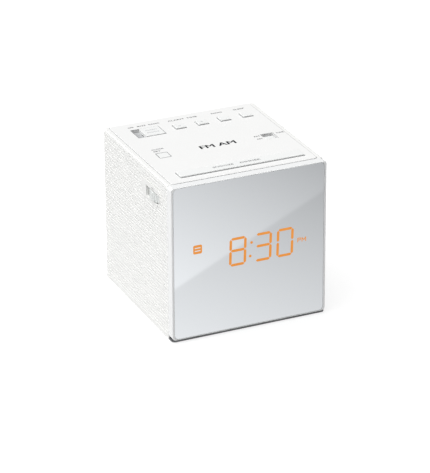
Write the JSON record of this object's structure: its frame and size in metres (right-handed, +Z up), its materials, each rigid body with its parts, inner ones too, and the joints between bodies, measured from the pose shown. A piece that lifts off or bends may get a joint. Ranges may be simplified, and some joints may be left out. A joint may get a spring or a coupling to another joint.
{
  "type": "clock radio",
  "caption": "Cube-shaped mains clock radio with a half-silvered front, a glowing time display, top keys and slides, and side thumbwheels.",
  "frame": {"origin": "on the table, under the middle of the cabinet", "axes": "+Z up, the front faces -Y, +X to the right as seen from the front"},
  "size_m": [0.102, 0.1024, 0.1004],
  "materials": {
    "white_cabinet": "fine satin moulding",
    "white_gloss": "polished moulding",
    "white_key": "satin moulding",
    "half_mirror": "half-silvered front sheet",
    "dark_base": "fine grained moulding",
    "dark_guide": "satin moulding",
    "rubber_black": "matt",
    "bright_steel": "plated",
    "lamination": "varnished",
    "board_green": "solder resist",
    "black_moulding": "satin",
    "display_grey": "matt",
    "lit_orange": "glowing diffuser",
    "unlit_film": "diffuser, unlit",
    "winding_tape": "wound tape",
    "ferrite": "ground",
    "copper_wire": "enamelled wire",
    "can_aluminium": "drawn",
    "paper_cone": "pressed pulp",
    "ribbon_grey": "extruded"
  },
  "bodies": {
    "cabinet": {"cabinet_shell": "white_cabinet", "front_bezel": "white_gloss", "mirror_panel": "half_mirror", "top_panel": "white_key", "bottom_cover": "dark_base", "rubber_feet": "rubber_black", "case_screws": "bright_steel", "bezel_screws": "bright_steel", "board_screws": "bright_steel", "push_switches": "black_moulding", "key_board": "board_green", "alarm_mode_switch": "bright_steel", "alarm_mode_guide": "dark_guide", "band_switch": "bright_steel", "band_guide": "dark_guide", "main_board": "board_green", "radio_chip": "black_moulding", "filter_capacitors": "can_aluminium", "tuning_coils": "can_aluminium", "volume_control": "black_moulding", "tuning_capacitor": "black_moulding", "ferrite_rod": "ferrite", "aerial_coil": "copper_wire", "aerial_cradles": "black_moulding", "display_board": "board_green", "led_display_case": "display_grey", "lit_segments": "lit_orange", "unlit_segments": "unlit_film", "display_ribbon": "ribbon_grey", "speaker_frame": "bright_steel", "speaker_magnet": "ferrite", "transformer_core": "lamination", "transformer_winding": "winding_tape", "cord_gland": "rubber_black", "battery_contacts": "bright_steel"},
    "snooze": {"snooze_bar": "white_key", "snooze_plunger": "black_moulding"},
    "alarm_down": {"alarm_down_key": "white_key", "alarm_down_plunger": "black_moulding"},
    "alarm_up": {"alarm_up_key": "white_key", "alarm_up_plunger": "black_moulding"},
    "radio": {"radio_key": "white_key", "radio_plunger": "black_moulding"},
    "sleep": {"sleep_key": "white_key", "sleep_plunger": "black_moulding"},
    "clock": {"clock_key": "white_key", "clock_plunger": "black_moulding"},
    "alarm_mode": {"alarm_mode_knob": "white_key", "alarm_mode_lever": "black_moulding"},
    "band": {"band_knob": "white_key", "band_lever": "black_moulding"},
    "volume": {"volume_wheel": "white_key", "volume_shaft": "bright_steel", "volume_wheel_screw": "bright_steel"},
    "tuning": {"tuning_wheel": "white_key", "tuning_shaft": "bright_steel", "tuning_wheel_screw": "bright_steel"},
    "battery": {"battery_tray": "dark_base", "coin_cell": "bright_steel"},
    "cone": {"speaker_cone": "paper_cone"}
  },
  "joints": [
    {"name": "snooze_press", "type": "slide", "parent": "cabinet", "child": "snooze", "axis": [0, 0, -1], "range_m": [0, 0.0005], "stiffness_N_per_m": 1500},
    {"name": "alarm_down_press", "type": "slide", "parent": "cabinet", "child": "alarm_down", "axis": [0, 0, -1], "range_m": [0, 0.0005], "stiffness_N_per_m": 1500},
    {"name": "alarm_up_press", "type": "slide", "parent": "cabinet", "child": "alarm_up", "axis": [0, 0, -1], "range_m": [0, 0.0005], "stiffness_N_per_m": 1500},
    {"name": "radio_press", "type": "slide", "parent": "cabinet", "child": "radio", "axis": [0, 0, -1], "range_m": [0, 0.0005], "stiffness_N_per_m": 1500},
    {"name": "sleep_press", "type": "slide", "parent": "cabinet", "child": "sleep", "axis": [0, 0, -1], "range_m": [0, 0.0005], "stiffness_N_per_m": 1500},
    {"name": "clock_press", "type": "slide", "parent": "cabinet", "child": "clock", "axis": [0, 0, -1], "range_m": [0, 0.0005], "stiffness_N_per_m": 1500},
    {"name": "alarm_mode_slide", "type": "slide", "parent": "cabinet", "child": "alarm_mode", "axis": [1, 0, 0], "range_m": [-0.005, 0]},
    {"name": "band_slide", "type": "slide", "parent": "cabinet", "child": "band", "axis": [0, 1, 0], "range_m": [0, 0.004]},
    {"name": "volume_turn", "type": "hinge", "parent": "cabinet", "child": "volume", "pos_m": [-0.037, -0.02475, 0.08505], "axis": [0, 0, 1], "range_deg": [-140, 140]},
    {"name": "tuning_turn", "type": "hinge", "parent": "cabinet", "child": "tuning", "pos_m": [0.037, -0.02475, 0.08505], "axis": [0, 0, 1], "range_deg": [-90, 90]},
    {"name": "battery_slide", "type": "slide", "parent": "cabinet", "child": "battery", "axis": [0, 1, 0], "range_m": [0, 0.024]},
    {"name": "cone_travel", "type": "slide", "parent": "cabinet", "child": "cone", "axis": [1, 0, 0], "range_m": [-0.0005, 0.0005], "stiffness_N_per_m": 1500}
  ]
}
